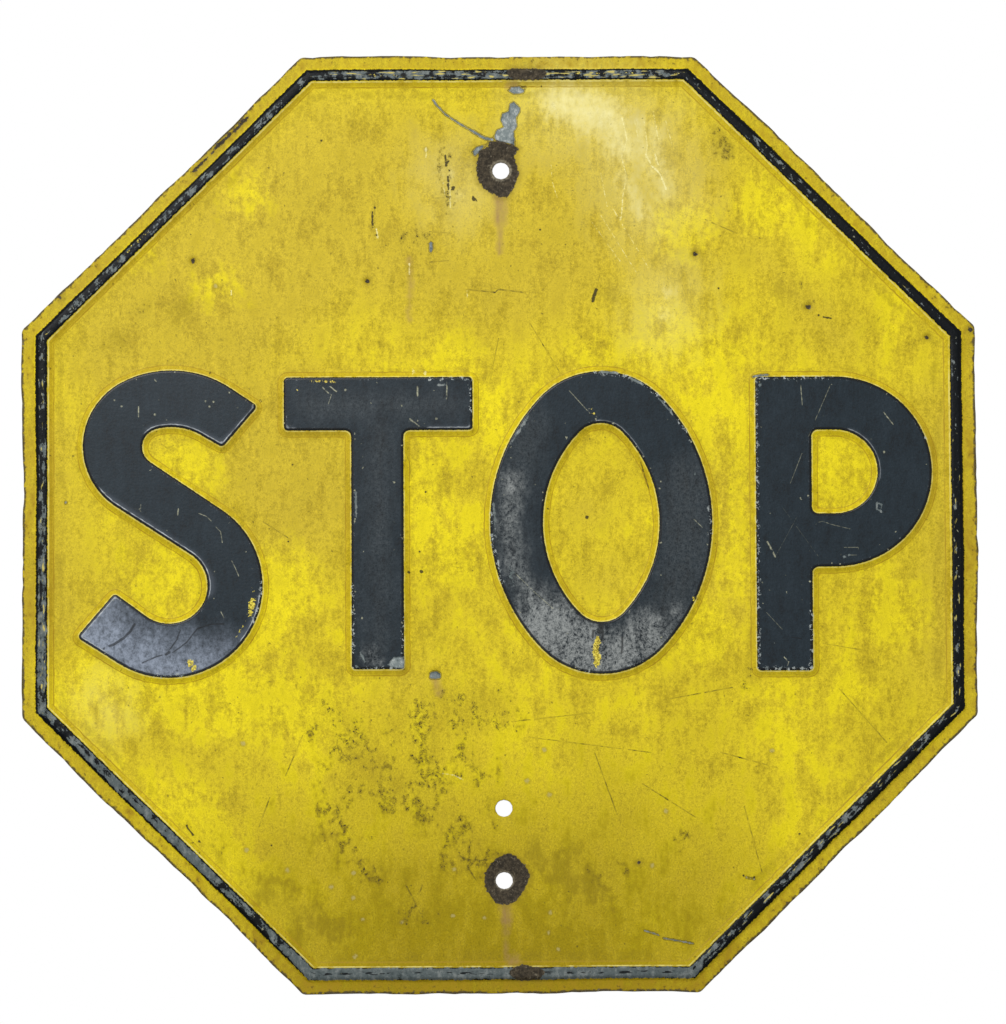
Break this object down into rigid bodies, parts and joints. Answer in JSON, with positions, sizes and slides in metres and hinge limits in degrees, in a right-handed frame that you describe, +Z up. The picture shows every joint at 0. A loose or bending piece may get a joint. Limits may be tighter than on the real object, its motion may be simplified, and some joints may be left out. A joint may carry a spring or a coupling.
{
  "type": "stop sign",
  "caption": "Octagonal stop sign pressed from one steel sheet, with a raised border rib and raised block letters, yellow enamel with black tops, bolted to a post.",
  "frame": {"origin": "midway between the two post bolt holes, on the plane of the back face", "axes": "+X to the right of a person who reads the sign, +Y from the front to the back, +Z up"},
  "size_m": [0.6096, 0.0045, 0.6096],
  "materials": {
    "enamelled_steel": "worn satin enamel"
  },
  "bodies": {
    "root": {"sign_face": "enamelled_steel"}
  },
  "joints": []
}
